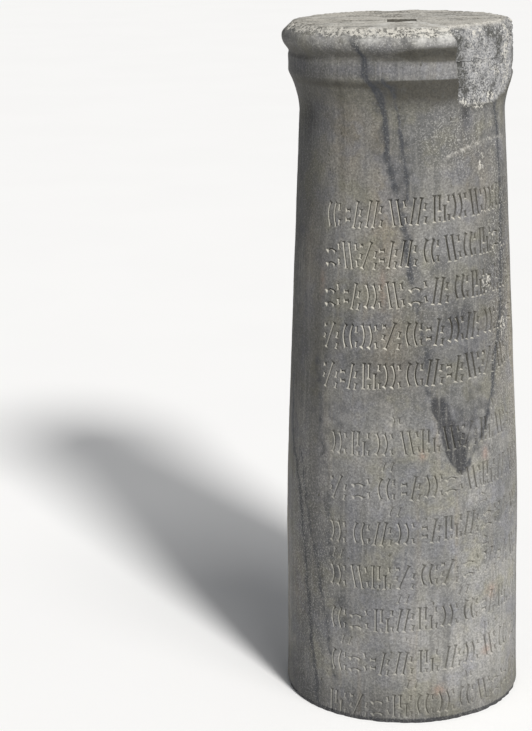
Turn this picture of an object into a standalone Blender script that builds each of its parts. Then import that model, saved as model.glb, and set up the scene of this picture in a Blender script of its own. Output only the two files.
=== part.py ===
"""A small round grave column of grey marble, cut off flat below and broken at the upper right.

Metres, +Z up. The origin is the centre of the underside and the inscribed front faces -Y.
Angles go round the column from the front towards +X.
"""

import math
import random

import bmesh
import bpy
from mathutils import Matrix, Vector, noise

# Shaft
HEIGHT = 0.610  # underside to flat top
BASE_RADIUS = 0.1075  # at the cut underside
SHAFT_RADIUS = 0.1058  # lower shaft, above the flare of the foot
FLARE_HEIGHT = 0.100
TAPER_HEIGHT = 0.190  # where the shaft starts to narrow
TAPER_EASE = 0.030
NECK_RADIUS = 0.0896  # narrowest place, under the mouldings

# Mouldings, named from the top down; the others are set back from the roll
ROLL_RADIUS = 0.1044
ROLL_HEIGHT = 0.0257
TOP_SETBACK = 0.0074
NOTCH_SETBACK = 0.0068
NOTCH_HEIGHT = 0.0017
BAND_SETBACK = 0.0053
BAND_HEIGHT = 0.0156
HOLLOW_HEIGHT = 0.0345
HOLLOW_BEND = 1.8

# Socket in the flat top
SOCKET_WIDTH = 0.024
SOCKET_LENGTH = 0.027
SOCKET_DEPTH = 0.018
SOCKET_OFFSET = -0.018  # its middle lies in front of the axis

# Break that took the mouldings away at the upper right
BREAK_START = math.radians(24)  # its left side at the top
BREAK_SLANT = math.radians(7)  # how far that side moves right by the foot of the break
BREAK_DEEPEST = math.radians(48)
BREAK_SPREAD = math.radians(42)
BREAK_RISE = 0.0055  # radius gained at one spread from the deepest place
BREAK_BITE = 0.0001  # how far the deepest place lies inside the neck
BREAK_FLOOR = 0.0700  # lowest place of the break, below the top
BREAK_RAMP = 0.004
BREAK_CREST = 0.0045  # how far its top right corner is worn back
BREAK_CREST_BAND = 0.007
BREAK_ROUGHNESS = 0.0012
BREAK_GRAIN = 0.011

# Chips on the worn rim
CHIP_COUNT = 14
CHIP_RADIUS = 0.0055
CHIP_LENGTHS = (1.2, 2.0)  # along the rim, in chip radii
CHIP_HEIGHTS = (0.6, 1.0)
CHIP_OUT = 0.4  # middle of a chip outside the top's edge, in chip radii
CHIP_SEED = 11

# Rows of strokes
UPPER_START = math.radians(-43)
LOWER_START = math.radians(-37)
ROW_END = math.radians(94)
ROW_RISE = 0.0062  # the rows climb this much for each radian
SIGN_PITCH = 0.0205
SIGN_WIDTH = 0.0145
PITCH_SPREAD = (0.92, 1.12)
BLOCK_GAP = 0.025  # least room between the upper and the lower rows
UPPER_DROP = 0.1646  # top of the column to the foot of the first row
UPPER_PITCH = 0.0348
UPPER_SIGN = 0.0238
LOWER_ROWS = 7
LOWER_FOOT = 0.0055  # foot of the last row above the underside
LOWER_PITCH = 0.0403
LOWER_SIGN = 0.0226
SMALL_SIGN = 0.0095  # small marks squeezed in above the lower rows
SMALL_MARKS = 3
STROKE_WIDTH = 0.0018
STROKE_DEPTH = 0.0010
SIGN_SEED = 7

# How finely the solid is faceted
TURN_STEPS = 48
SHAFT_STEPS = 6
FLARE_STEPS = 2
HOLLOW_STEPS = 4
ROLL_STEPS = 6
BREAK_COLUMNS = 18
BREAK_ROWS = 8
BEND_STEPS = 2
CUT_MARGIN = 0.004  # how far cutters stand out of the stone
WELD = 0.00001

# Each sign is a few strokes that don't touch, in a cell one wide and one high.
# A stroke is its two ends and how far its middle bows out to the left.
SIGNS = (
    ((0.05, 0.00, 0.35, 1.00, 0.00), (0.50, 0.00, 0.80, 1.00, 0.00)),
    ((0.10, 1.00, 0.40, 0.00, 0.00), (0.55, 1.00, 0.85, 0.00, 0.00)),
    ((0.10, 0.00, 0.10, 1.00, 0.00), (0.46, 0.38, 0.46, 1.00, 0.00), (0.82, 0.00, 0.82, 0.64, 0.00)),
    ((0.00, 0.30, 0.40, 0.30, 0.00), (0.00, 0.64, 0.40, 0.64, 0.00), (0.62, 0.00, 0.92, 1.00, 0.00)),
    ((0.10, 0.95, 0.10, 0.05, 0.22), (0.58, 0.95, 0.58, 0.05, 0.22)),
    ((0.36, 0.05, 0.36, 0.95, 0.20), (0.86, 0.05, 0.86, 0.95, 0.20)),
    ((0.05, 0.58, 0.85, 0.58, 0.20), (0.05, 0.10, 0.85, 0.10, 0.20)),
    ((0.20, 0.00, 0.84, 1.00, 0.00), (0.02, 0.84, 0.28, 0.84, 0.00)),
)
SMALL_SIGNS = (
    ((0.10, 0.00, 0.30, 1.00, 0.00), (0.60, 0.00, 0.80, 1.00, 0.00)),
    ((0.10, 0.10, 0.75, 0.10, 0.00), (0.20, 0.95, 0.65, 0.60, 0.00)),
    ((0.20, 1.00, 0.20, 0.00, 0.20), (0.70, 0.15, 0.70, 0.85, 0.00)),
)

TOP_RADIUS = ROLL_RADIUS - TOP_SETBACK
NOTCH_RADIUS = ROLL_RADIUS - NOTCH_SETBACK
BAND_RADIUS = ROLL_RADIUS - BAND_SETBACK
ROLL_FOOT = HEIGHT - ROLL_HEIGHT
BAND_TOP = ROLL_FOOT - NOTCH_HEIGHT
BAND_FOOT = BAND_TOP - BAND_HEIGHT
NECK_TOP = BAND_FOOT - HOLLOW_HEIGHT
BREAK_RADIUS = NECK_RADIUS - BREAK_BITE
BREAK_END = BREAK_DEEPEST + BREAK_SPREAD * math.sqrt((ROLL_RADIUS - BREAK_RADIUS) / BREAK_RISE)


def clear_scene():
    for ob in list(bpy.data.objects):
        bpy.data.objects.remove(ob, do_unlink=True)


def new_collection(name):
    collection = bpy.data.collections.new(name)
    bpy.context.scene.collection.children.link(collection)
    return collection


def new_object(name, bm, collection):
    """Turn a bmesh into an object with its faces pointing out."""
    bmesh.ops.recalc_face_normals(bm, faces=bm.faces)
    mesh = bpy.data.meshes.new(name)
    bm.to_mesh(mesh)
    bm.free()
    ob = bpy.data.objects.new(name, mesh)
    collection.objects.link(ob)
    return ob


def marble():
    material = bpy.data.materials.new("grey_marble")
    material.use_nodes = True
    shader = material.node_tree.nodes["Principled BSDF"]
    shader.inputs["Base Color"].default_value = (0.30, 0.30, 0.28, 1.0)
    shader.inputs["Roughness"].default_value = 0.75
    shader.inputs["Metallic"].default_value = 0.0
    return material


def eased(distance, ease):
    """Distance past a bend, rounded off over the ease, and zero well before it."""
    return (distance + math.hypot(distance, ease)) / 2


def column_radius(z):
    """Radius of the carved surface at a height, mouldings included."""
    if z < FLARE_HEIGHT:
        return SHAFT_RADIUS + (BASE_RADIUS - SHAFT_RADIUS) * (1 - z / FLARE_HEIGHT) ** 2
    if z < NECK_TOP:
        narrowing = eased(z - TAPER_HEIGHT, TAPER_EASE) - eased(FLARE_HEIGHT - TAPER_HEIGHT, TAPER_EASE)
        whole = eased(NECK_TOP - TAPER_HEIGHT, TAPER_EASE) - eased(FLARE_HEIGHT - TAPER_HEIGHT, TAPER_EASE)
        return SHAFT_RADIUS - (SHAFT_RADIUS - NECK_RADIUS) * narrowing / whole
    if z < BAND_FOOT:
        return NECK_RADIUS + (BAND_RADIUS - NECK_RADIUS) * ((z - NECK_TOP) / HOLLOW_HEIGHT) ** HOLLOW_BEND
    if z <= BAND_TOP:
        return BAND_RADIUS
    if z < ROLL_FOOT:
        return BAND_RADIUS + (NOTCH_RADIUS - BAND_RADIUS) * (z - BAND_TOP) / NOTCH_HEIGHT
    side = 2 * (z - ROLL_FOOT) / ROLL_HEIGHT - 1
    edge = NOTCH_RADIUS if side < 0 else TOP_RADIUS
    return edge + (ROLL_RADIUS - edge) * math.cos(side * math.pi / 2)


def heights(foot, top, steps):
    """Evenly spaced heights from a top down to a foot, the foot left out."""
    return [top + (foot - top) * step / steps for step in range(steps)]


def profile_heights():
    """Heights of the profile's points, from the top down."""
    down = heights(ROLL_FOOT, HEIGHT, ROLL_STEPS)
    down += [ROLL_FOOT, BAND_TOP]
    down += heights(NECK_TOP, BAND_FOOT, HOLLOW_STEPS)
    down += heights(FLARE_HEIGHT, NECK_TOP, SHAFT_STEPS)
    down += heights(0.0, FLARE_HEIGHT, FLARE_STEPS)
    return down + [0.0]


def turned_column(collection):
    """The column as a profile turned round its axis."""
    outline = [Vector((0, 0, HEIGHT))]
    outline += [Vector((column_radius(z), 0, z)) for z in profile_heights()]
    outline.append(Vector((0, 0, 0)))
    mesh = bpy.data.meshes.new("marble_column")
    mesh.from_pydata(outline, [(i, i + 1) for i in range(len(outline) - 1)], [])
    ob = bpy.data.objects.new("marble_column", mesh)
    collection.objects.link(ob)
    turn = ob.modifiers.new("Turn", "SCREW")
    turn.axis = "Z"
    turn.angle = 2 * math.pi
    turn.steps = TURN_STEPS
    turn.render_steps = TURN_STEPS
    turn.use_merge_vertices = True
    turn.merge_threshold = WELD
    return ob


def on_column(angle, radius, z):
    """Point at an angle from the front, a radius from the axis and a height."""
    return Vector((radius * math.sin(angle), -radius * math.cos(angle), z))


def socket_cutter(collection):
    """Box that sinks the rectangular socket into the flat top."""
    bm = bmesh.new()
    bmesh.ops.create_cube(bm, size=1.0)
    tall = SOCKET_DEPTH + CUT_MARGIN
    bmesh.ops.scale(bm, vec=(SOCKET_WIDTH, SOCKET_LENGTH, tall), verts=bm.verts)
    bmesh.ops.translate(bm, vec=(0, SOCKET_OFFSET, HEIGHT + CUT_MARGIN - tall / 2), verts=bm.verts)
    return new_object("socket_cutter", bm, collection)


def break_radius(angle, z):
    """Radius that the break left: rough like split marble, a ramp at its foot, a worn top corner."""
    across = (angle - BREAK_DEEPEST) / BREAK_SPREAD
    smooth = BREAK_RADIUS + BREAK_RISE * across ** 2
    place = Vector((angle * NECK_RADIUS, z, 0)) / BREAK_GRAIN
    ramp = max(0.0, HEIGHT - BREAK_FLOOR + BREAK_RAMP - z)
    crest = BREAK_CREST * min(1.0, max(0.0, across)) * max(0.0, 1 - (HEIGHT - z) / BREAK_CREST_BAND) ** 2
    return smooth + BREAK_ROUGHNESS * noise.noise(place) + ramp - crest


def break_cutter(collection):
    """Slab wrapped round the upper right, its inner side shaped as the break."""
    bm = bmesh.new()
    bmesh.ops.create_grid(bm, x_segments=BREAK_COLUMNS, y_segments=BREAK_ROWS, size=1)
    skin = bmesh.ops.extrude_face_region(bm, geom=list(bm.faces))
    outer = {v for v in skin["geom"] if isinstance(v, bmesh.types.BMVert)}
    foot = HEIGHT - BREAK_FLOOR
    tall = BREAK_FLOOR + CUT_MARGIN
    for v in bm.verts:
        z = foot + tall * (v.co.y + 1) / 2
        start = BREAK_START + BREAK_SLANT * (HEIGHT - z) / BREAK_FLOOR
        angle = start + (BREAK_END - start) * (v.co.x + 1) / 2
        radius = ROLL_RADIUS + 2 * CUT_MARGIN if v in outer else break_radius(angle, z)
        v.co = on_column(angle, radius, z)
    return new_object("break_cutter", bm, collection)


def chip_cutter(collection):
    """Small lumps round the rim that knock chips off the roll's upper edge."""
    chance = random.Random(CHIP_SEED)
    bm = bmesh.new()
    for index in range(CHIP_COUNT):
        angle = 2 * math.pi * (index + chance.uniform(0.1, 0.9)) / CHIP_COUNT
        if BREAK_START < angle < BREAK_END:
            continue
        lump = bmesh.ops.create_icosphere(bm, subdivisions=1, radius=CHIP_RADIUS)["verts"]
        shape = (chance.uniform(*CHIP_LENGTHS), 1, chance.uniform(*CHIP_HEIGHTS))
        bmesh.ops.scale(bm, vec=shape, verts=lump)
        bmesh.ops.rotate(bm, matrix=Matrix.Rotation(angle, 3, "Z"), verts=lump)
        place = on_column(angle, TOP_RADIUS + CHIP_OUT * CHIP_RADIUS, HEIGHT)
        bmesh.ops.translate(bm, vec=place, verts=lump)
    return new_object("chip_cutter", bm, collection)


def placed_sign(sign, start, foot, height):
    """Strokes of one sign as ends (distance round the column, height) and a bow."""
    strokes = []
    for x0, y0, x1, y1, bow in sign:
        first = Vector((start + x0 * SIGN_WIDTH, foot + y0 * height))
        last = Vector((start + x1 * SIGN_WIDTH, foot + y1 * height))
        strokes.append((first, last, bow * SIGN_WIDTH))
    return strokes


def row_feet():
    """Foot and sign height of each upper and lower row at the front, from the top row down."""
    lower = [(LOWER_FOOT + row * LOWER_PITCH, LOWER_SIGN) for row in reversed(range(LOWER_ROWS))]
    upper = []
    foot = HEIGHT - UPPER_DROP
    while foot > lower[0][0] + LOWER_SIGN + BLOCK_GAP:
        upper.append((foot, UPPER_SIGN))
        foot -= UPPER_PITCH
    return upper, lower


def row_of_signs(chance, start, foot, height):
    """Strokes of one row: signs side by side, never the same one twice running."""
    strokes = []
    distance = start * SHAFT_RADIUS
    kind = None
    while distance < ROW_END * SHAFT_RADIUS - SIGN_WIDTH:
        kind = chance.choice([sign for sign in SIGNS if sign is not kind])
        rise = ROW_RISE * distance / SHAFT_RADIUS
        strokes += placed_sign(kind, distance, foot + rise, height)
        distance += SIGN_PITCH * chance.uniform(*PITCH_SPREAD)
    return strokes


def small_marks(chance, foot):
    """Small marks spread along the gap above a lower row, a third of the row for each."""
    strokes = []
    for mark in range(SMALL_MARKS):
        part = (mark + chance.random()) / SMALL_MARKS
        angle = LOWER_START + (ROW_END - LOWER_START) * part
        above = foot + (LOWER_PITCH + LOWER_SIGN - SMALL_SIGN) / 2 + ROW_RISE * angle
        strokes += placed_sign(chance.choice(SMALL_SIGNS), angle * SHAFT_RADIUS, above, SMALL_SIGN)
    return strokes


def inscription():
    """All strokes of the rows, with small marks squeezed in above the lower rows."""
    chance = random.Random(SIGN_SEED)
    upper, lower = row_feet()
    strokes = []
    for foot, height in upper:
        strokes += row_of_signs(chance, UPPER_START, foot, height)
    for foot, height in lower:
        strokes += row_of_signs(chance, LOWER_START, foot, height)
        strokes += small_marks(chance, foot)
    return strokes


def stroke_section(stroke, part):
    """Point along a stroke and the direction across it, on the unrolled surface."""
    first, last, bow = stroke
    along = last - first
    across = Vector((-along.y, along.x)).normalized()
    return first.lerp(last, part) + across * bow * 4 * part * (1 - part), across


def stroke_bar(stroke):
    """Three-sided bar laid along a stroke, its lower edge sunk into the stone."""
    bm = bmesh.new()
    bmesh.ops.create_cone(bm, cap_ends=True, segments=3, radius1=1, radius2=1, depth=1)
    long_edges = [e for e in bm.edges if e.verts[0].co.z * e.verts[1].co.z < 0]
    if stroke[2]:
        bmesh.ops.subdivide_edges(bm, edges=long_edges, cuts=BEND_STEPS - 1, use_grid_fill=True)
    spread = STROKE_WIDTH / 2 * (STROKE_DEPTH + CUT_MARGIN) / STROKE_DEPTH
    for v in bm.verts:
        point, across = stroke_section(stroke, v.co.z + 0.5)
        sunk = v.co.y > 0
        radius = column_radius(max(point.y, 0.0)) + (-STROKE_DEPTH if sunk else CUT_MARGIN)
        if not sunk:
            point += across * math.copysign(spread, v.co.x)
        v.co = on_column(point.x / SHAFT_RADIUS, radius, point.y)
    return bm


def stroke_cutter(collection):
    """The bars of all strokes as one cutter."""
    bm = bmesh.new()
    for stroke in inscription():
        bar = stroke_bar(stroke)
        mesh = bpy.data.meshes.new("bar")
        bar.to_mesh(mesh)
        bar.free()
        bm.from_mesh(mesh)
        bpy.data.meshes.remove(mesh)
    return new_object("stroke_cutter", bm, collection)


def cut(ob, cutter):
    """Take the cutter's shape away from the object."""
    boolean = ob.modifiers.new(cutter.name, "BOOLEAN")
    boolean.operation = "DIFFERENCE"
    boolean.solver = "EXACT"
    boolean.object = cutter
    cutter.hide_render = True
    cutter.display_type = "WIRE"


def main():
    clear_scene()
    parts = new_collection("marble_column")
    cutters = new_collection("cutters")
    column = turned_column(parts)
    column.data.materials.append(marble())
    cut(column, socket_cutter(cutters))
    cut(column, break_cutter(cutters))
    cut(column, chip_cutter(cutters))
    cut(column, stroke_cutter(cutters))


main()
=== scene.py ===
import math
import random

import bpy
import numpy as np
from mathutils import Matrix, Vector, kdtree, noise
from mathutils.geometry import delaunay_2d_cdt


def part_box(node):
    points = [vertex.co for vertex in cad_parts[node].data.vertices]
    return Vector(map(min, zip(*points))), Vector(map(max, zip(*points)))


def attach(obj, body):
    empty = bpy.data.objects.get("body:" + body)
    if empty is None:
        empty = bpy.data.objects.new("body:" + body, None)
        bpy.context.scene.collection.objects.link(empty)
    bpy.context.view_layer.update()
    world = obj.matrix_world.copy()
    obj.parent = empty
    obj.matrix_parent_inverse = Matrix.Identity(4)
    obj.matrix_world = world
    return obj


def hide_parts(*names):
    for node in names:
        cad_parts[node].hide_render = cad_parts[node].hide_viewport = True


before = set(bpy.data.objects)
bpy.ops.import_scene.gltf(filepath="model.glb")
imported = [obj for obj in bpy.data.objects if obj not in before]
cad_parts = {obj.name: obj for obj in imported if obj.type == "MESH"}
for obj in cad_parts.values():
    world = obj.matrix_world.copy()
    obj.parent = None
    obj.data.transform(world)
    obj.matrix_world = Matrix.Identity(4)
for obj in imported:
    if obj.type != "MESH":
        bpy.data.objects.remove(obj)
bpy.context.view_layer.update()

NODE = "marble_column"
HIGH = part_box(NODE)[1]
SAME = 1e-6  # lengths that differ by less count as the same

# Shaft, in metres; angles go round the column from the front towards +X
HEIGHT = HIGH.z
BASE_RADIUS = HIGH.x
SHAFT_RADIUS = 0.1058
FLARE_HEIGHT = 0.1
TAPER_HEIGHT = 0.19
TAPER_EASE = 0.03
NECK_RADIUS = 0.0896

# Mouldings, named from the top down; the others are set back from the roll
ROLL_RADIUS = 0.1044
ROLL_HEIGHT = 0.0257
TOP_SETBACK = 0.0074
NOTCH_SETBACK = 0.0068
NOTCH_HEIGHT = 0.0017
BAND_SETBACK = 0.0053
BAND_HEIGHT = 0.0156
HOLLOW_HEIGHT = 0.0345
HOLLOW_BEND = 1.8
PROFILE_STEPS = 1220
PROFILE_WEAR = 0.0012  # arrises are rounded over about this length

# Socket in the flat top
SOCKET_WIDTH = 0.024
SOCKET_LENGTH = 0.027
SOCKET_DEPTH = 0.018
SOCKET_OFFSET = -0.018
SOCKET_MOUTH = 0.0006  # the worn mouth is wider by this all round
SOCKET_LEAN = 0.0001  # the floor is narrower by this all round
SOCKET_LIP = 0.0008  # the worn mouth is this deep

# Break that took the mouldings away at the upper right
BREAK_START = math.radians(24)  # its left side at the top
BREAK_SLANT = math.radians(7)  # how far that side moves right by the foot of the break
BREAK_DEEPEST = math.radians(48)
BREAK_SPREAD = math.radians(42)
BREAK_RISE = 0.0055
BREAK_BITE = 0.0001
BREAK_FLOOR = 0.07
BREAK_RAMP = 0.004
BREAK_CREST = 0.0045  # how far its top right corner is worn back
BREAK_CREST_BAND = 0.007
BREAK_ROUGHNESS = 0.0012
BREAK_GRAIN = 0.011
BREAK_WALL = 0.002  # how far the steep left side of the break leans
BREAK_WALL_LINES = 3
BREAK_RAGGED = 0.0022
BREAK_RAG_SIZE = 0.009

# Chips on the worn rim
CHIP_COUNT = 14
CHIP_RADIUS = 0.0055
CHIP_LENGTHS = (1.2, 2.0)  # along the rim, in chip radii
CHIP_HEIGHTS = (0.6, 1.0)
CHIP_OUT = 0.4
CHIP_LEAST = 0.12  # no point is moved further than this share allows
CHIP_SEED = 11

# Rows of strokes
UPPER_START = math.radians(-43)
LOWER_START = math.radians(-37)
ROW_END = math.radians(94)
ROW_RISE = 0.0062
SIGN_PITCH = 0.0205
SIGN_WIDTH = 0.0145
PITCH_SPREAD = (0.92, 1.12)
BLOCK_GAP = 0.025
UPPER_DROP = 0.1646
UPPER_PITCH = 0.0348
UPPER_SIGN = 0.0238
LOWER_ROWS = 7
LOWER_FOOT = 0.0055
LOWER_PITCH = 0.0403
LOWER_SIGN = 0.0226
SMALL_SIGN = 0.0095
SMALL_MARKS = 3
STROKE_WIDTH = 0.0021
STROKE_DEPTH = 0.0015
FINE_WIDTH = 0.0018
FINE_DEPTH = 0.0012
SMALL_WIDTH = 0.0016
SMALL_DEPTH = 0.001
END_SPREAD = 1.5  # stroke ends are wider by this share
END_LENGTH = 0.0016
END_SLANT = 0.0016
STROKE_WEAR = ((0.0, 0.5), (0.03, 0.82), (0.285, 0.82), (0.315, 1.12))  # height, share of the depth left
STROKE_HIGHLIGHT = ((0.285, 0.5), (0.315, 1.0))  # height, share of the painted highlight on the walls that look towards the light
WALL_LIGHT = Vector((0.75, 0.65))  # groove walls that look towards here get a painted highlight, those that look away painted shade
SIGN_SEED = 7

# Each sign is a few strokes that don't touch, in a cell one wide and one high.
# A stroke is its two ends and how far its middle bows out to the left.
SIGNS = (
    ((0.05, 0, 0.35, 1, 0), (0.5, 0, 0.8, 1, 0)),
    ((0.1, 1, 0.4, 0, 0), (0.55, 1, 0.85, 0, 0)),
    ((0.1, 0, 0.1, 1, 0), (0.46, 0.38, 0.46, 1, 0), (0.82, 0, 0.82, 0.64, 0)),
    ((0, 0.3, 0.4, 0.3, 0), (0, 0.64, 0.4, 0.64, 0), (0.62, 0, 0.92, 1, 0)),
    ((0.1, 0.95, 0.1, 0.05, 0.22), (0.58, 0.95, 0.58, 0.05, 0.22)),
    ((0.36, 0.05, 0.36, 0.95, 0.2), (0.86, 0.05, 0.86, 0.95, 0.2)),
    ((0.05, 0.58, 0.85, 0.58, 0.2), (0.05, 0.1, 0.85, 0.1, 0.2)),
    ((0.2, 0, 0.84, 1, 0), (0.02, 0.84, 0.28, 0.84, 0)),
)
# Shorter, shallower strokes between those of each sign, in the same order
FINE_STROKES = (
    ((0.98, 0.52, 1.07, 0.8, 0), (1, 0.04, 1.09, 0.32, 0)),
    ((1.02, 0.96, 1.11, 0.68, 0), (1.12, 0.38, 1.21, 0.1, 0)),
    ((1.1, 0.98, 1.1, 0.7, 0), (1.12, 0.3, 1.12, 0.02, 0), (0.46, 0.22, 0.46, 0.02, 0)),
    ((1.06, 0.44, 1.15, 0.72, 0), (1.04, 0, 1.13, 0.28, 0)),
    ((1.04, 0.32, 1.12, 0.06, 0), (1.04, 0.94, 1.12, 0.7, 0)),
    ((1.08, 0.92, 1.08, 0.64, 0), (1.08, 0.36, 1.08, 0.08, 0)),
    ((1.04, 0.96, 1.13, 0.7, 0), (1.08, 0.42, 1.17, 0.16, 0)),
    ((1.06, 0.4, 1.15, 0.68, 0), (1.02, 0, 1.11, 0.26, 0), (0.06, 0.34, 0.14, 0.56, 0)),
)
SMALL_SIGNS = (
    ((0.1, 0, 0.3, 1, 0), (0.6, 0, 0.8, 1, 0)),
    ((0.1, 0.1, 0.75, 0.1, 0), (0.2, 0.95, 0.65, 0.6, 0)),
    ((0.2, 1, 0.2, 0, 0.2), (0.7, 0.15, 0.7, 0.85, 0)),
)

# Mesh spacing
FRONT_STEP = 0.0024
BACK_STEP = 0.0045
MOULDING_STEP = 0.0014
MOULDING_BACK_STEP = 0.0026
TOP_STEP = 0.0026
UNDER_STEP = 0.012
RING_STEP = 0.0014
SEAM_STEP = 0.004
SOCKET_STEP = 0.0016
STROKE_STEP = 0.0028
NECK_MARGIN = 0.004
CLEAR = 0.0009  # loose points keep this far from the strokes and arrises
FRONT_FROM = math.radians(-102)
FRONT_TO = math.radians(118)

# Wear of the stone, in metres
SWELL_DEPTH = 0.0007
SWELL_SIZE = 0.045
GRAIN_DEPTH = 0.00022
GRAIN_SIZE = 0.006
RIM_BAND = 0.012
RIM_FULL = 0.35  # this share of the rim band is worn in full
RIM_WAVER = 0.25
RIM_WEAKER = 0.6  # wear of the rim outside its strong stretch
RIM_GRAIN = 0.004
RIM_ROUND = 0.0034
RIM_DEPTH = 0.0014
# Height of the painted highlight on the upper half of the roll
HIGHLIGHT_BAND = 0.019
LEAN_HEIGHTS = (0.01, 0.05)  # wear follows the slope of the side from here up
RIM_STRONG = (math.radians(-75), math.radians(30))
DENT_DEPTH = 0.0013
DENT_SIZE = 0.02
FOOT_BAND = 0.006
FOOT_DEPTH = 0.002
# Strength of the painted contact shadow along the foot
FOOT_SHADE = 1.6
FOOT_ROUND = 0.0009  # the lower arris is worn back by this much
FOOT_ROWS = (0.0012, 0.0026, 0.0042)  # rows of points above it
BREAK_BITTEN = 0.0012
CRYSTAL_DEPTH = 0.0016
CRYSTAL_SIZE = 0.0042
LUMP_DEPTH = 0.0026
LUMP_SIZE = 0.013
FACET_STRIDE = 7.3  # keeps the turns of neighbouring facets unlike
FACET_SEED = 5
SCRATCH_REACH = 0.0009
SCRATCH_DEPTH = 0.0009
SCRATCH_WHITE = 0.7
SCRATCH_BREAKS = 0.004  # a scratch comes and goes over about this length
TOP_FURROW = 0.0045
TOP_FURROW_STRETCH = 5.0
TOP_WEAR = 0.0009
CORNER_DROP = 0.0016  # the top falls off this much towards its worn right edge
CORNER_REACH = 0.016
CORNER_FROM = math.radians(60)
CORNER_TO = math.radians(125)
CORNER_SOFT = math.radians(20)
TOP_PITS = (((-0.021, 0.037), 0.004, 0.003), ((0.046, 0.022), 0.003, 0.0012))
SOCKET_ROUGH = 0.0006
VEIN_SWAY = 0.0028
VEIN_SWAY_SIZE = 0.018
VEIN_SWELL_SIZE = 0.03
VEIN_SWELL = 0.9
VEIN_SOFT_SIDE = 1.8
VEIN_CORE = 0.8  # the dark core, as a share of the half width
VEIN_REACH = 2.3  # the haze round it
VEIN_HAZE = 0.42
SHARP_ANGLE = math.radians(34)

# Veins and marks of the marble, as (degrees from the front, height in metres)
# Each vein has its half width, its strength and its bends.
VEINS = (
    (0.002, 1, ((-25.5, 0.604), (-24, 0.598), (-21.8, 0.591), (-19.4, 0.585))),
    (0.0026, 1, ((-19.4, 0.585), (-18.6, 0.578), (-18, 0.573), (-17, 0.568), (-14.3, 0.56))),
    (0.0034, 1, ((-14.3, 0.56), (-12.2, 0.5515), (-10.6, 0.542), (-9.5, 0.534), (-8.5, 0.5215))),
    (0.003, 1, ((-8.5, 0.5215), (-8.3, 0.51), (-8.5, 0.5))),
    (0.0036, 0.75, ((-8.5, 0.505), (-5.5, 0.485), (-1, 0.455), (1.5, 0.433), (5, 0.4))),
    (0.0024, 0.55, ((5, 0.4), (8, 0.37), (11.5, 0.342), (12.5, 0.3))),
    (0.0022, 0.6, ((-9, 0.567), (-5.5, 0.56), (-2.5, 0.54), (-1, 0.525))),
    (0.002, 0.85, ((-1, 0.525), (0, 0.508), (2, 0.49), (3.5, 0.465))),
    (0.002, 1, ((56, 0.561), (62.8, 0.526), (65, 0.49), (65, 0.44))),
    (0.0024, 1, ((65, 0.44), (63, 0.4), (60, 0.36), (56.8, 0.3376), (53.5, 0.318), (50, 0.292))),
    (0.0024, 0.7, ((50, 0.292), (47.2, 0.28), (43, 0.26), (38, 0.25), (33, 0.234))),
    (0.0018, 0.9, ((-74, 0.3), (-71, 0.246), (-60.3, 0.205), (-55.5, 0.148), (-52.2, 0.09), (-45.5, 0.004))),
    (0.0019, 0.6, ((-60, 0.235), (-49, 0.162), (-42.8, 0.115), (-35.2, 0.037))),
    (0.004, 0.4, ((-48, 0.33), (-42, 0.24), (-36, 0.15), (-30, 0.09))),
    (0.003, 0.7, ((-150, 0.61), (-138, 0.48), (-141, 0.3), (-118, 0.12), (-112, 0))),
    (0.0022, 0.8, ((128, 0.56), (140, 0.4), (133, 0.25), (152, 0.09), (160, 0))),
    (0.004, 0.5, ((-176, 0.5), (-166, 0.35), (-171, 0.18))),
)
# The dark wedge where two veins meet: height, left and right side in degrees, and strength
WEDGE = (
    (0.306, 13.5, 15, 0),
    (0.3, 13.8, 21, 0.4),
    (0.292, 14.4, 23, 0.85),
    (0.283, 15.2, 25, 0.9),
    (0.2705, 18, 28.5, 0.8),
    (0.262, 19.5, 34, 0.9),
    (0.25, 21, 34.5, 1),
    (0.24, 23.5, 33.5, 1),
    (0.2309, 26.5, 33, 0.85),
    (0.223, 29, 31, 0),
)
WEDGE_SOFT = (0.0016, 0.0055)  # how soft its left and right sides are
WEDGE_SWAY = 0.0016
WEDGE_GRAIN = (30, 0.006)  # how often it sways in a radian, and over what height
WEDGE_HAZE = (
    (0.318, 11.5, 30, 0),
    (0.3, 13.5, 48, 0.34),
    (0.275, 17, 46, 0.42),
    (0.25, 21, 42, 0.36),
    (0.228, 27, 32, 0),
)
# Patches as degrees, height, half width, half height and strength
DARK_PATCHES = (
    (1, 0.598, 0.0045, 0.008, 0.55), (4, 0.59, 0.0065, 0.008, 0.85), (-22, 0.597, 0.006, 0.007, 0.3),
    (-8, 0.584, 0.014, 0.004, 0.4), (3, 0.56, 0.014, 0.006, 0.35), (21.2, 0.41, 0.015, 0.012, 0.45),
    (30, 0.361, 0.017, 0.022, 0.55), (36, 0.335, 0.014, 0.018, 0.45), (0, 0.48, 0.006, 0.02, 0.35),
    (40, 0.6, 0.01, 0.01, 0.5), (36, 0.538, 0.006, 0.013, 0.8), (29.5, 0.585, 0.003, 0.022, 0.5),
    (-35.5, 0.339, 0.016, 0.012, 0.4), (-32, 0.262, 0.016, 0.022, 0.4),
    (-26.8, 0.355, 0.012, 0.012, 0.35), (-75, 0.42, 0.02, 0.12, 0.45), (-140, 0.38, 0.03, 0.09, 0.5),
    (150, 0.22, 0.026, 0.08, 0.5), (-170, 0.09, 0.022, 0.05, 0.4),
)
WARM_PATCHES = (
    (-9.3, 0.445, 0.02, 0.055, 1), (-3, 0.345, 0.026, 0.04, 0.8), (-30, 0.52, 0.022, 0.045, 0.8),
    (-12, 0.525, 0.012, 0.03, 0.7), (-62, 0.112, 0.014, 0.03, 0.7), (-56, 0.417, 0.012, 0.05, 0.5),
    (60, 0.354, 0.016, 0.06, 0.8), (76, 0.345, 0.016, 0.1, 1), (-84, 0.15, 0.012, 0.15, 0.8),
    (45, 0.48, 0.03, 0.04, 0.5), (100, 0.42, 0.05, 0.1, 0.6), (170, 0.48, 0.05, 0.08, 0.6),
    (-120, 0.24, 0.04, 0.1, 0.6),
)
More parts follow.
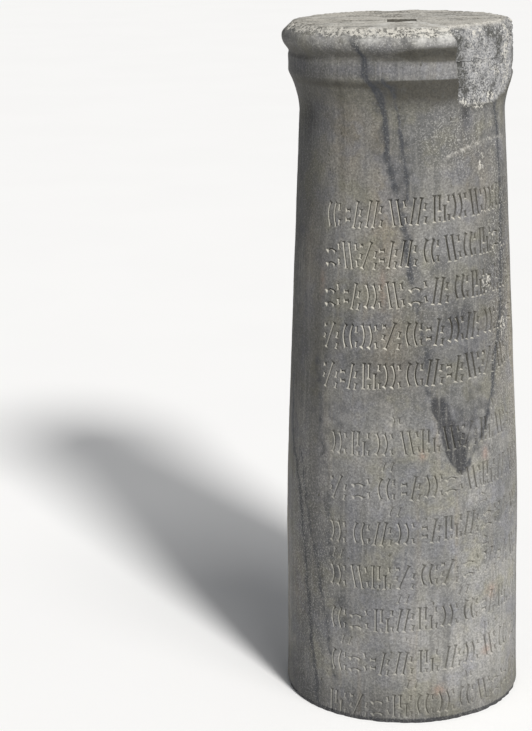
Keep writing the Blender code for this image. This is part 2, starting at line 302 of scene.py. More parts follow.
COOL_PATCHES = (
    (-20, 0.575, 0.075, 0.006, 0.9), (-58, 0.575, 0.03, 0.007, 0.8), (0, 0.56, 0.04, 0.02, 0.3),
    (22, 0.56, 0.02, 0.03, 0.5), (-33, 0.29, 0.02, 0.03, 0.5), (-20, 0.2, 0.03, 0.03, 0.4),
    (10, 0.13, 0.02, 0.04, 0.4), (-25, 0.06, 0.02, 0.03, 0.4), (-24, 0.17, 0.008, 0.06, 0.8),
    (2, 0.12, 0.014, 0.05, 0.6), (-44, 0.23, 0.012, 0.08, 0.6), (24, 0.425, 0.014, 0.03, 0.5),
    (12, 0.33, 0.02, 0.025, 0.5), (150, 0.4, 0.04, 0.08, 0.5),
)
# On the broken face
BREAK_DARK_PATCHES = (
    (31.5, 0.59, 0.005, 0.012, 1.1), (32.5, 0.572, 0.0062, 0.016, 1.5), (36, 0.557, 0.006, 0.009, 1),
    (56, 0.602, 0.0085, 0.006, 1), (63, 0.597, 0.007, 0.007, 1), (66, 0.583, 0.006, 0.008, 0.7),
    (50, 0.565, 0.006, 0.005, 0.45), (60, 0.557, 0.007, 0.006, 0.55), (46, 0.595, 0.004, 0.005, 0.35),
)
BREAK_PALE_PATCHES = (
    (77, 0.59, 0.0085, 0.018, 0.75), (78, 0.566, 0.0085, 0.012, 0.55), (34, 0.548, 0.006, 0.003, 1),
    (46, 0.541, 0.009, 0.003, 1), (63, 0.568, 0.006, 0.003, 0.8), (58, 0.549, 0.008, 0.004, 0.6),
    (27, 0.6, 0.004, 0.01, 0.6), (44, 0.603, 0.012, 0.003, 0.5),
)
PINK_PATCHES = (
    (10, 0.248, 0.003, 0.004, 0.8), (44.8, 0.241, 0.004, 0.006, 0.6), (49, 0.112, 0.006, 0.006, 0.6),
    (45.5, 0.057, 0.006, 0.005, 0.5), (18.2, 0.03, 0.006, 0.005, 0.6), (-9.5, 0.392, 0.003, 0.014, 0.5),
    (-45, 0.395, 0.003, 0.012, 0.5),
)
PALE_PATCHES = (
    (-6, 0.603, 0.014, 0.004, 0.3), (26.5, 0.597, 0.002, 0.01, 0.5), (49, 0.3915, 0.008, 0.011, 0.7),
    (63.5, 0.349, 0.009, 0.012, 0.7), (46.8, 0.495, 0.005, 0.016, 0.55),
    (60, 0.508, 0.008, 0.003, 0.45), (37, 0.545, 0.005, 0.003, 0.9), (46, 0.541, 0.01, 0.0022, 0.9),
    (57, 0.548, 0.006, 0.006, 0.8), (35, 0.247, 0.003, 0.004, 0.6), (95, 0.3, 0.007, 0.009, 0.8),
    (-160, 0.52, 0.008, 0.006, 0.8),
)
# Where a highlight is painted on the upper half of the roll, at the height of the top
ROLL_HIGHLIGHT_PATCHES = (
    (-45, 0.61, 0.022, 0.01, 0.5), (-15, 0.61, 0.013, 0.01, 0.9), (-5, 0.61, 0.006, 0.01, 0.5),
    (10, 0.61, 0.011, 0.012, 0.95), (20, 0.61, 0.011, 0.012, 1), (120, 0.61, 0.02, 0.01, 0.6),
    (175, 0.61, 0.04, 0.01, 0.45), (-110, 0.61, 0.03, 0.01, 0.45),
)
# Where the stone is full of white flecks
FLECK_PATCHES = (
    (-62, 0.12, 0.03, 0.1, 0.5), (70, 0.33, 0.02, 0.09, 0.85), (30, 0.52, 0.05, 0.045, 0.7),
    (20, 0.56, 0.03, 0.02, 0.5), (62, 0.4, 0.026, 0.16, 1), (74, 0.3, 0.02, 0.22, 1),
    (-52, 0.14, 0.04, 0.16, 0.8), (5, 0.4, 0.08, 0.1, 0.45), (-20, 0.2, 0.12, 0.2, 0.3),
    (45, 0.15, 0.06, 0.15, 0.45), (0, 0.597, 0.2, 0.012, 0.7), (175, 0.35, 0.15, 0.25, 0.45),
)
# Faint streaks where dirt has gathered, and a painted band of reflected light low on the far left
DIRT_AND_REFLECTED_LIGHT_PATCHES = (
    (-72, 0.125, 0.01, 0.09, -1), (-48, 0.3, 0.01, 0.18, 0.6), (-33, 0.52, 0.004, 0.06, 0.4),
)
PAST_BREAK = 0.4  # the painted shade and dirt under the mouldings there
# Broad lighter and darker zones, above and below 0: the stone's own tone, with painted shade down the far
# left and under the roll, painted light down the far right, and darker towards the foot
TONE_AND_SHADE_PATCHES = (
    (0, 0.56, 0.2, 0.16, -0.28), (-62, 0.545, 0.03, 0.05, -0.2), (-35, 0.572, 0.06, 0.009, -0.18),
    (18, 0.575, 0.016, 0.007, 0.15), (-84, 0.43, 0.022, 0.2, -0.22), (-76, 0.12, 0.011, 0.12, 0.16),
    (-60, 0.532, 0.02, 0.018, -0.1), (-24, 0.29, 0.028, 0.01, -0.12), (66, 0.5, 0.014, 0.06, 0.12),
    (78, 0.33, 0.018, 0.11, 0.3), (18, 0.592, 0.04, 0.006, -0.12), (0, 0.12, 0.08, 0.14, -0.08),
    (60, 0.37, 0.06, 0.095, -0.36), (60, 0.52, 0.045, 0.05, 0.18), (-75, 0.4, 0.05, 0.2, -0.4),
    (10, 0.35, 0.06, 0.06, -0.2), (-60, 0.22, 0.035, 0.16, -0.2), (-30, 0.06, 0.04, 0.06, 0.1),
    (45, 0.1, 0.06, 0.12, 0.22), (180, 0.3, 0.16, 0.4, -0.25), (0, 0.008, 0.3, 0.026, -0.48),
    (0, 0.325, 0.06, 0.014, -0.14),
)
SCRATCHES = (
    ((24.2, 0.5014), (34, 0.5065), (40.2, 0.5095), (53.2, 0.5126), (74, 0.5116)),
    ((47, 0.5014), (45.5, 0.487)),
)

# Marks that the side's points are made with, and those that are only patches
POINT_MARKS = ("fresh", "chip", "cut", "deep", "wall")
PATCH_MARKS = {
    "fleck": FLECK_PATCHES,
    "cool": COOL_PATCHES,
    "broken_dark": BREAK_DARK_PATCHES,
    "broken_pale": BREAK_PALE_PATCHES,
    "warm": WARM_PATCHES,
    "pink": PINK_PATCHES,
    "pale": PALE_PATCHES,
}

# Colours of the stone, linear
COOL_DARK = (0.14, 0.141, 0.14, 1.0)
COOL_LIGHT = (0.222, 0.219, 0.21, 1.0)
WARM = (0.24, 0.205, 0.148, 1.0)
PALE_GREY = (0.29, 0.28, 0.258, 1.0)
OLIVE = (0.212, 0.203, 0.156, 1.0)
VIOLET = (0.18, 0.182, 0.203, 1.0)
STREAK_DARK = (0.095, 0.094, 0.088, 1.0)
PINK = (0.33, 0.2, 0.15, 1.0)
VEIN = (0.036, 0.039, 0.046, 1.0)
DARK_BAND = (0.024, 0.025, 0.029, 1.0)
SUGAR = (0.52, 0.51, 0.48, 1.0)
# Colours of the flat top, painted paler than the side partly for the light from above
TOP_LIGHT = (0.45, 0.424, 0.372, 1.0)
TOP_DARK = (0.095, 0.086, 0.07, 1.0)
TOP_SPECK = (0.56, 0.545, 0.5, 1.0)
FRESH_LIGHT = (0.44, 0.437, 0.432, 1.0)
FRESH_DARK = (0.112, 0.115, 0.122, 1.0)
RIM_HIGHLIGHT = (0.64, 0.63, 0.595, 1.0)
FRESH_SHADE = (0.06, 0.06, 0.054, 1.0)
FRESH_GREY = (0.3, 0.3, 0.305, 1.0)
CHIP_WHITE = (0.56, 0.54, 0.49, 1.0)
# Dirt, also used for painted shade under the mouldings, in the strokes and in the socket
DIRT_AND_SHADE = (0.05, 0.046, 0.035, 1.0)
# Shares of painted shade and painted highlight in the strokes, and the colour of the highlight
CUT_SHADE = 0.78
CUT_HIGHLIGHT = 0.92
WALL_HIGHLIGHT = (0.52, 0.5, 0.44, 1.0)
WOBBLE = 0.004
BUMP_DEPTH = 0.0006

# Places on the texture
UV_EDGE = 0.003
UV_STOPS = (UV_EDGE, 0.113, 0.675, 0.787)  # far left, start and end of the front, far right
DISC_UV = 0.895
DISC_UV_SIZE = 0.1
TOP_UV = 0.76
UNDER_UV = 0.24

# Floor, light and camera
FLOOR_SIZE = 30.0
FLOOR_LIGHT = (0.985, 0.985, 0.985, 1.0)
FLOOR_DARK = (0.975, 0.975, 0.975, 1.0)
# Each light has its name, turn from the front, rise, spread, strength and colour.
LIGHTS = (
    ("key", 29.0, 34.0, 10.0, 3.4, (1.0, 0.985, 0.96)),
    ("high", 36.0, 60.0, 24.0, 0.65, (1.0, 0.99, 0.975)),
)
SKY_COLOUR = (0.95, 0.97, 1.0, 1.0)
SKY_STRENGTH = 0.2
CAMERA_PLACE = (-0.0018, -1.6837, 0.744)
CAMERA_YAW = 4.107
CAMERA_PITCH = 14.718
CAMERA_ROLL = -1.048
LENS = 94.84
SENSOR = 36.0

TOP_RADIUS = ROLL_RADIUS - TOP_SETBACK
NOTCH_RADIUS = ROLL_RADIUS - NOTCH_SETBACK
BAND_RADIUS = ROLL_RADIUS - BAND_SETBACK
ROLL_FOOT = HEIGHT - ROLL_HEIGHT
BAND_TOP = ROLL_FOOT - NOTCH_HEIGHT
BAND_FOOT = BAND_TOP - BAND_HEIGHT
NECK_TOP = BAND_FOOT - HOLLOW_HEIGHT
BREAK_RADIUS = NECK_RADIUS - BREAK_BITE
BREAK_END = BREAK_DEEPEST + BREAK_SPREAD * math.sqrt((ROLL_RADIUS - BREAK_RADIUS) / BREAK_RISE)


def smooth_step(low, high, value):
    """0 below low, 1 above high, and a smooth rise between."""
    part = np.clip((value - low) / (high - low), 0.0, 1.0)
    return part * part * (3 - 2 * part)


def eased(distance, ease):
    """Distance past a bend, rounded off over the ease."""
    return (distance + math.hypot(distance, ease)) / 2


def column_radius(z):
    """Radius of the carved surface at a height, mouldings included."""
    if z < FLARE_HEIGHT:
        return SHAFT_RADIUS + (BASE_RADIUS - SHAFT_RADIUS) * (1 - z / FLARE_HEIGHT) ** 2
    if z < NECK_TOP:
        start = eased(FLARE_HEIGHT - TAPER_HEIGHT, TAPER_EASE)
        narrowing = eased(z - TAPER_HEIGHT, TAPER_EASE) - start
        whole = eased(NECK_TOP - TAPER_HEIGHT, TAPER_EASE) - start
        return SHAFT_RADIUS - (SHAFT_RADIUS - NECK_RADIUS) * narrowing / whole
    if z < BAND_FOOT:
        return NECK_RADIUS + (BAND_RADIUS - NECK_RADIUS) * ((z - NECK_TOP) / HOLLOW_HEIGHT) ** HOLLOW_BEND
    if z <= BAND_TOP:
        return BAND_RADIUS
    if z < ROLL_FOOT:
        return BAND_RADIUS + (NOTCH_RADIUS - BAND_RADIUS) * (z - BAND_TOP) / NOTCH_HEIGHT
    side = 2 * (z - ROLL_FOOT) / ROLL_HEIGHT - 1
    edge = NOTCH_RADIUS if side < 0 else TOP_RADIUS
    return edge + (ROLL_RADIUS - edge) * math.cos(side * math.pi / 2)


def worn_profile():
    """Heights, radii and running length up the side, with the arrises rounded off."""
    z = np.linspace(0.0, HEIGHT, PROFILE_STEPS + 1)
    radius = np.array([column_radius(v) for v in z])
    reach = PROFILE_WEAR / (HEIGHT / PROFILE_STEPS)
    window = np.exp(-0.5 * (np.arange(-int(3 * reach), int(3 * reach) + 1) / reach) ** 2)
    padded = np.pad(radius, len(window) // 2, mode="edge")
    radius = np.convolve(padded, window / window.sum(), mode="valid")
    run = np.concatenate([[0.0], np.cumsum(np.hypot(np.diff(z), np.diff(radius)))])
    return z, radius, run


PROFILE_Z, PROFILE_R, PROFILE_RUN = worn_profile()
PROFILE_LEAN = -np.gradient(PROFILE_R) / np.gradient(PROFILE_RUN)
SIDE_LENGTH = PROFILE_RUN[-1]
HALF_TURN = math.pi * SHAFT_RADIUS


def run_at(z):
    """Running length up the side at a height."""
    return np.interp(z, PROFILE_Z, PROFILE_RUN)


# The side is unrolled to a flat plan: x is the angle times the shaft's radius,
# and y is the running length up the side.
class Plan:
    """Points and edges of a flat plan, with the groove's depth at each point.

    On the edge of a groove, walls says whether the wall there looks up to the right, 1, or away, -1.
    """

    def __init__(self):
        self.points = []
        self.edges = []
        self.depths = []
        self.walls = []
        self.guard = []
        self.tree = None

    def line(self, points, depths=None, walls=None, closed=False):
        """Points joined by edges."""
        first = len(self.points)
        count = len(points)
        self.points += [tuple(p) for p in points]
        self.depths += list(depths) if depths is not None else [0.0] * count
        self.walls += list(walls) if walls is not None else [0.0] * count
        self.edges += [(first + i, first + i + 1) for i in range(count - 1)]
        if closed:
            self.edges.append((first + count - 1, first))

    def scatter(self, points):
        """Loose points."""
        self.points += points
        self.depths += [0.0] * len(points)
        self.walls += [0.0] * len(points)


def placed_sign(sign, start, foot, height):
    """Strokes of one sign as ends (distance round the column, height) and a bow."""
    strokes = []
    for x0, y0, x1, y1, bow in sign:
        first = Vector((start + x0 * SIGN_WIDTH, foot + y0 * height))
        last = Vector((start + x1 * SIGN_WIDTH, foot + y1 * height))
        strokes.append((first, last, bow * SIGN_WIDTH))
    return strokes


def row_feet():
    """Foot and sign height of each lower and upper row at the front, from the top row down."""
    lower = [(LOWER_FOOT + row * LOWER_PITCH, LOWER_SIGN) for row in reversed(range(LOWER_ROWS))]
    upper = []
    foot = HEIGHT - UPPER_DROP
    while foot > lower[0][0] + LOWER_SIGN + BLOCK_GAP:
        upper.append((foot, UPPER_SIGN))
        foot -= UPPER_PITCH
    return upper, lower


def row_of_signs(chance, start, foot, height):
    """Strokes of one row: signs side by side, never the same one twice running."""
    strokes = []
    fine = []
    distance = start * SHAFT_RADIUS
    kind = None
    while distance < ROW_END * SHAFT_RADIUS - SIGN_WIDTH:
        kind = chance.choice([sign for sign in SIGNS if sign is not kind])
        rise = ROW_RISE * distance / SHAFT_RADIUS
        strokes += placed_sign(kind, distance, foot + rise, height)
        fine += placed_sign(FINE_STROKES[SIGNS.index(kind)], distance, foot + rise, height)
        distance += SIGN_PITCH * chance.uniform(*PITCH_SPREAD)
    return strokes, fine


def small_marks(chance, foot):
    """Small marks spread along the gap above a lower row, a third of the row for each."""
    strokes = []
    for mark in range(SMALL_MARKS):
        part = (mark + chance.random()) / SMALL_MARKS
        angle = LOWER_START + (ROW_END - LOWER_START) * part
        above = foot + (LOWER_PITCH + LOWER_SIGN - SMALL_SIGN) / 2 + ROW_RISE * angle
        strokes += placed_sign(chance.choice(SMALL_SIGNS), angle * SHAFT_RADIUS, above, SMALL_SIGN)
    return strokes


def inscription():
    """Strokes of the rows, the fine strokes between them and the small marks above the lower rows."""
    chance = random.Random(SIGN_SEED)
    upper, lower = row_feet()
    tall = []
    fine = []
    small = []
    for start, rows in ((UPPER_START, upper), (LOWER_START, lower)):
        for foot, height in rows:
            strokes, extra = row_of_signs(chance, start, foot, height)
            tall += strokes
            fine += extra
            if rows is lower:
                small += small_marks(chance, foot)
    return tall, fine, small


def add_stroke(plan, stroke, width, depth):
    """Lay one V groove in the plan: two edges, a sunk middle and spread, slanting ends."""
    first, last, bow = stroke
    along = last - first
    length = along.length
    across = Vector((-along.y, along.x)).normalized()
    parts = max(4, round(length / STROKE_STEP))
    left = []
    right = []
    lit_left = []
    lit_right = []
    middle = []
    for i in range(parts + 1):
        part = i / parts
        end = min(part, 1 - part) * length
        half = width / 2 * (1 + END_SPREAD * math.exp(-((end / END_LENGTH) ** 2)))
        point = first.lerp(last, part) + across * bow * 4 * part * (1 - part)
        slope = (along + across * bow * 4 * (1 - 2 * part)).normalized()
        side = Vector((-slope.y, slope.x))
        left.append(point + side * half)
        right.append(point - side * half)
        left_wall = -side
        if i == 0:
            left_wall = slope
        elif i == parts:
            left_wall = -slope
        lit_left.append(max(-1.0, min(1.0, left_wall.dot(WALL_LIGHT))))
        lit_right.append(lit_left[-1] if i in (0, parts) else -lit_left[-1])
        middle.append(point)
    slant = min(0.8, END_SLANT / length * parts)
    middle[0] = middle[0].lerp(middle[1], slant)
    middle[-1] = middle[-1].lerp(middle[-2], slant)
    depths = [depth * np.interp(p.y, *zip(*STROKE_WEAR)) for p in middle]
    ring = left + right[::-1]
    walls = lit_left + lit_right[::-1]
    walls = [wall * np.interp(p.y, *zip(*STROKE_HIGHLIGHT)) if wall > 0 else wall for wall, p in zip(walls, ring)]
    plan.line([(p.x, run_at(max(0.0, p.y))) for p in ring], walls=walls, closed=True)
    plan.line([(p.x, run_at(p.y)) for p in middle], depths=depths)
    plan.guard += [(p.x, run_at(p.y), width / 2) for p in middle + ring]


def hex_grid(x0, x1, y0, y1, step):
    """Points of an even triangular grid that fills a rectangle."""
    rows = max(1, round((y1 - y0) / (step * math.sqrt(0.75))))
    columns = max(1, round((x1 - x0) / step))
    gap_x = (x1 - x0) / columns
    gap_y = (y1 - y0) / rows
    points = []
    for row in range(rows):
        shift = 0.25 + 0.5 * (row % 2)
        for column in range(columns):
            points.append((x0 + gap_x * (column + shift), y0 + gap_y * (row + 0.5)))
    return points


def break_edge(run):
    """Plan x of the steep left side of the break, a little ragged."""
    rag = noise.noise(Vector((run / BREAK_RAG_SIZE, 3.0, 0.0)))
    rag += noise.noise(Vector((run / BREAK_RAG_SIZE * 3, 5.0, 0.0))) / 2
    down = (HEIGHT - float(np.interp(run, PROFILE_RUN, PROFILE_Z))) / BREAK_FLOOR
    return (BREAK_START + BREAK_SLANT * down) * SHAFT_RADIUS + BREAK_RAGGED * rag


def keeps_clear(plan, x, y):
    """True where a loose point is clear of the strokes, the break's side and the border."""
    margin = RING_STEP / 2
    if abs(x) > HALF_TURN - margin or y < margin or y > SIDE_LENGTH - margin:
        return False
    for _, index, distance in plan.tree.find_n((x, y, 0.0), 2):
        if distance < CLEAR + plan.guard[index][2]:
            return False
    return True


def plan_tree(plan):
    """Search tree of the points that loose points keep clear of."""
    tree = kdtree.KDTree(len(plan.guard))
    for index, (x, y, _) in enumerate(plan.guard):
        tree.insert((x, y, 0.0), index)
    tree.balance()
    return tree


def side_plan():
    """Everything that the side is meshed from."""
    plan = Plan()
    tall, fine, small = inscription()
    tall = [(stroke, STROKE_WIDTH, STROKE_DEPTH) for stroke in tall]
    fine = [(stroke, FINE_WIDTH, FINE_DEPTH) for stroke in fine]
    small = [(stroke, SMALL_WIDTH, SMALL_DEPTH) for stroke in small]
    for stroke in tall + fine + small:
        add_stroke(plan, *stroke)
    runs = np.arange(run_at(HEIGHT - BREAK_FLOOR), SIDE_LENGTH - MOULDING_STEP / 2, MOULDING_STEP)
    for step in range(BREAK_WALL_LINES):
        offset = BREAK_WALL * step / (BREAK_WALL_LINES - 1)
        line = [(break_edge(run) + offset, run) for run in runs]
        plan.line(line)
        plan.guard += [(x, y, 0.0) for x, y in line]
    plan.tree = plan_tree(plan)
    neck = run_at(NECK_TOP - NECK_MARGIN)
    front = (FRONT_FROM * SHAFT_RADIUS, FRONT_TO * SHAFT_RADIUS)
    shaft = (0.0, neck, FRONT_STEP, BACK_STEP)
    mouldings = (neck, SIDE_LENGTH, MOULDING_STEP, MOULDING_BACK_STEP)
    for low, high, step, back_step in (shaft, mouldings):
        loose = hex_grid(*front, low, high, step)
        loose += hex_grid(-HALF_TURN, front[0], low, high, back_step)
        loose += hex_grid(front[1], HALF_TURN, low, high, back_step)
        plan.scatter([point for point in loose if keeps_clear(plan, *point)])
    across = np.linspace(-HALF_TURN, HALF_TURN, round(2 * HALF_TURN / RING_STEP) + 1)
    plan.line([(x, 0.0) for x in across[::2]])
    plan.scatter([(x, row) for row in FOOT_ROWS for x in across[1:-1:2]])
    plan.line([(x, SIDE_LENGTH) for x in across])
    up = np.linspace(0.0, SIDE_LENGTH, round(SIDE_LENGTH / SEAM_STEP) + 1)
    plan.line([(-HALF_TURN, y) for y in up])
    plan.line([(HALF_TURN, y) for y in up])
    return plan


def triangulate(points, edges, inside_only=False):
    """Points of a plan joined into triangles that keep its edges, and the old indices of each point."""
    flat = [Vector(p) for p in points]
    made = delaunay_2d_cdt(flat, edges, [], 1 if inside_only else 0, SAME)
    return made[0], made[2], made[3]


def on_column(angle, radius, z):
    """Point at an angle from the front, a radius from the axis and a height."""
    return Vector((radius * math.sin(angle), -radius * math.cos(angle), z))


def rough(place, size, seed=0.0):
    """Noise from -1 to 1 that varies over about the given length."""
    return noise.noise(place / size + Vector((seed, seed * 2, seed * 3)))


def facet(place, size):
    """Tilted flat facets, as on a broken face of coarse marble, from about -1 to 1."""
    near = noise.voronoi(place / size)[1][0]
    turn = noise.noise_vector(near * FACET_STRIDE)
    return max(-1.0, min(1.0, 2 * turn.dot(place / size - near) + turn.z))


def rim_chips():
    """Middles, turns and sizes of the lumps that knocked chips off the rim."""
    chance = random.Random(CHIP_SEED)
    chips = []
    for index in range(CHIP_COUNT):
        angle = 2 * math.pi * (index + chance.uniform(0.1, 0.9)) / CHIP_COUNT
        if BREAK_START < angle < BREAK_END:
            continue
        size = Vector((chance.uniform(*CHIP_LENGTHS), 1, chance.uniform(*CHIP_HEIGHTS))) * CHIP_RADIUS
        chips.append((on_column(angle, TOP_RADIUS + CHIP_OUT * CHIP_RADIUS, HEIGHT), angle, size))
    return chips


CHIPS = rim_chips()


def chipped(place):
    """A point moved out of the lumps that knocked chips off, and how deep it was in one."""
    deepest = 0.0
    for middle, angle, size in CHIPS:
        offset = place - middle
        if offset.length > max(size):
            continue
        along = offset.x * math.cos(angle) + offset.y * math.sin(angle)
        out = offset.x * math.sin(angle) - offset.y * math.cos(angle)
        scaled = Vector((along / size.x, out / size.y, offset.z / size.z))
        share = max(CHIP_LEAST, scaled.length * (1 + 0.25 * rough(place, CHIP_RADIUS / 2)))
        if share < 1:
            place = middle + offset / share
            deepest = max(deepest, 1 - share)
    return place, deepest


def break_radius(angle, z):
    """Radius that the break left: rough like split marble, a ramp at its foot, a worn top corner."""
    across = (angle - BREAK_DEEPEST) / BREAK_SPREAD
    smooth = BREAK_RADIUS + BREAK_RISE * across ** 2
    place = Vector((angle * NECK_RADIUS, z, 0)) / BREAK_GRAIN
    ramp = max(0.0, HEIGHT - BREAK_FLOOR + BREAK_RAMP - z)
    crest = BREAK_CREST * min(1.0, max(0.0, across)) * max(0.0, 1 - (HEIGHT - z) / BREAK_CREST_BAND) ** 2
    return smooth + BREAK_ROUGHNESS * noise.noise(place) + ramp - crest


def step_between(low, high, value):
    """smooth_step for one number."""
    part = min(1.0, max(0.0, (value - low) / (high - low)))
    return part * part * (3 - 2 * part)


def top_sink(place):
    """How far the flat top has sunk: shallow grooves of the point chisel and wear."""
    furrow = rough(Vector((place.x / TOP_FURROW_STRETCH, place.y, 0.0)), TOP_FURROW, 2.0)
    dimple = rough(place, TOP_FURROW / 3, 4.0)
    sink = TOP_WEAR * max(0.0, 0.5 + furrow + 0.35 * dimple)
    away = place.xy.length - TOP_RADIUS
    turn = math.atan2(place.x, -place.y)
    corner = step_between(CORNER_FROM, CORNER_FROM + CORNER_SOFT, turn)
    corner *= 1 - step_between(CORNER_TO - CORNER_SOFT, CORNER_TO, turn)
    sink += CORNER_DROP * corner * step_between(-CORNER_REACH, 0.0, away)
    for middle, reach, deep in TOP_PITS:
        distance = (place.xy - Vector(middle)).length
        sink += deep * (1 - step_between(reach / 2, reach, distance))
    return sink


def side_point(x, run, groove):
    """Worn place of a point of the side, and how fresh, chipped and grooved the stone is there."""
    angle = x / SHAFT_RADIUS
    z = float(np.interp(run, PROFILE_RUN, PROFILE_Z))
    radius = float(np.interp(run, PROFILE_RUN, PROFILE_R))
    lean = float(np.interp(run, PROFILE_RUN, PROFILE_LEAN)) * step_between(*LEAN_HEIGHTS, z)
    whole = on_column(angle, radius, z)
    sink = SWELL_DEPTH * (1 + rough(whole, SWELL_SIZE)) / 2
    sink += GRAIN_DEPTH * (1 + rough(whole, GRAIN_SIZE, 1.0)) / 2
    to_top = SIDE_LENGTH - run
    ragged_top = to_top + RIM_WAVER * RIM_BAND * rough(whole, RIM_BAND)
    rim = 1 - step_between(RIM_BAND * RIM_FULL, RIM_BAND, ragged_top)
    crumble = max(0.0, 0.25 + 0.6 * rough(whole, RIM_GRAIN) + 0.5 * rough(whole, RIM_GRAIN / 2.2, 3.0))
    strength = 1.0 if RIM_STRONG[0] < angle < RIM_STRONG[1] else RIM_WEAKER
    sink += RIM_DEPTH * rim * crumble * strength
    sink += RIM_ROUND * max(0.0, 1 - to_top / RIM_BAND) ** 1.5 * strength
    sink += DENT_DEPTH * step_between(BAND_FOOT, ROLL_FOOT, z) * max(0.0, rough(whole, DENT_SIZE, 8.0))
    foot = 1 - step_between(0.0, FOOT_BAND, z + FOOT_BAND * 0.5 * rough(whole, FOOT_BAND * 2))
    sink += FOOT_DEPTH * foot * max(0.0, 0.2 + rough(whole, FOOT_BAND))
    sink += FOOT_ROUND * max(0.0, 1 - z / FOOT_BAND) ** 2
    wall = min(1.0, max(0.0, (x - break_edge(run)) / BREAK_WALL))
    left = break_radius(angle, z) if z > HEIGHT - BREAK_FLOOR - BREAK_WALL else radius
    fresh = 0.0
    bite = wall * max(0.0, radius - left)
    if bite > sink:
        fresh = step_between(0.0, BREAK_BITTEN, bite)
        crystals = 1 + facet(whole, CRYSTAL_SIZE) + 0.5 * facet(whole, CRYSTAL_SIZE / 2)
        sink = bite + fresh * (CRYSTAL_DEPTH * crystals + LUMP_DEPTH * (1 + facet(whole, LUMP_SIZE))) / 2
    for line in SCRATCHES:
        away = line_distance(angle, z, line)
        away += SCRATCH_REACH * 0.8 * rough(whole, SCRATCH_REACH)
        strong = max(0.0, 0.4 + rough(whole, SCRATCH_BREAKS, 6.0))
        sink += SCRATCH_DEPTH * (1 - step_between(0.0, SCRATCH_REACH, away)) * strong
    sink += groove
    place = on_column(angle, radius - sink * math.sqrt(1 - lean * lean), z - sink * lean)
    place, chip = chipped(place)
    chip = max(rim * min(1.0, 0.5 + crumble) * (1 - 0.75 * fresh), min(1.0, 3 * chip))
    if run > SIDE_LENGTH - SAME:
        place.z = min(place.z, HEIGHT - top_sink(place))
    place.z = 0.0 if run < SAME else max(place.z, 0.0)
    return place, fresh, chip, min(1.0, groove / STROKE_DEPTH)


def line_distance(angle, z, line):
    """Distance on the surface from a point to a bent line of (degrees, height) points."""
    best = 1.0
    place = Vector((angle * SHAFT_RADIUS, z))
    for (a0, z0), (a1, z1) in zip(line, line[1:]):
        first = Vector((math.radians(a0) * SHAFT_RADIUS, z0))
        last = Vector((math.radians(a1) * SHAFT_RADIUS, z1))
        span = last - first
        part = min(1.0, max(0.0, (place - first).dot(span) / span.length_squared))
        best = min(best, (place - first - span * part).length)
    return best


def top_plan(ring):
    """Plan of the flat top inside the side's uppermost ring, with the socket's mouth and floor."""
    plan = Plan()
    plan.line([(p.x, p.y) for p in ring], closed=True)
    plan.guard += [(p.x, p.y, 0.0) for p in ring]
    for grow, depth in ((SOCKET_MOUTH, 0.0), (SOCKET_MOUTH / 2, SOCKET_LIP), (-SOCKET_LEAN, SOCKET_DEPTH)):
        loop = socket_loop(grow)
        plan.line(loop, depths=[depth] * len(loop), closed=True)
        plan.guard += [(x, y, 0.0) for x, y in loop]
    plan.tree = plan_tree(plan)
    for x, y in hex_grid(-ROLL_RADIUS, ROLL_RADIUS, -ROLL_RADIUS, ROLL_RADIUS, TOP_STEP):
        near = plan.tree.find_range((x, y, 0.0), TOP_STEP * 0.55)
        inside = math.hypot(x, y) < ring_radius(ring, x, y) - TOP_STEP * 0.5
        if inside and not near:
            sunk = abs(x) < SOCKET_WIDTH / 2 and abs(y - SOCKET_OFFSET) < SOCKET_LENGTH / 2
            plan.scatter([(x, y)])
            plan.depths[-1] = SOCKET_DEPTH if sunk else 0.0
    return plan


def socket_loop(grow):
    """Points round the socket, larger all round by the growth."""
    wide = SOCKET_WIDTH / 2 + grow
    long = SOCKET_LENGTH / 2 + grow
    corners = [(-wide, -long), (wide, -long), (wide, long), (-wide, long)]
    points = []
    for first, last in zip(corners, corners[1:] + corners[:1]):
        steps = round(math.dist(first, last) / SOCKET_STEP)
        for step in range(steps):
            part = step / steps
            x = first[0] + (last[0] - first[0]) * part
            y = first[1] + (last[1] - first[1]) * part
            points.append((x, SOCKET_OFFSET + y))
    return points


def ring_radius(ring, x, y):
    """Radius of the uppermost ring in the direction of a point."""
    turn = (math.atan2(x, -y) / (2 * math.pi) + 0.5) % 1.0
    place = turn * len(ring)
    low = int(place) % len(ring)
    high = (low + 1) % len(ring)
    part = place - int(place)
    return math.hypot(*ring[low].xy) * (1 - part) + math.hypot(*ring[high].xy) * part


class Shell:
    """The whole mesh of the column while it is put together."""

    def __init__(self):
        self.places = []
        self.faces = []
        self.marks = []
        self.corners = []  # place on the texture of each corner of each face

    def add(self, place, marks):
        """Adds a point with its marks and gives back its number."""
        self.places.append(place)
        self.marks.append(marks)
        return len(self.places) - 1


def side_uv(x, run):
    """Place of a side point on the texture; the front gets more of it than the back."""
    first = FRONT_FROM * SHAFT_RADIUS
    last = FRONT_TO * SHAFT_RADIUS
    across = float(np.interp(x, (-HALF_TURN, first, last, HALF_TURN), UV_STOPS))
    return across, UV_EDGE + (1 - 2 * UV_EDGE) * run / SIDE_LENGTH


def disc_uv(x, y, middle):
    """Place on the texture of a point of the top or underside."""
    return DISC_UV + x / BASE_RADIUS * DISC_UV_SIZE, middle + y / BASE_RADIUS * DISC_UV_SIZE


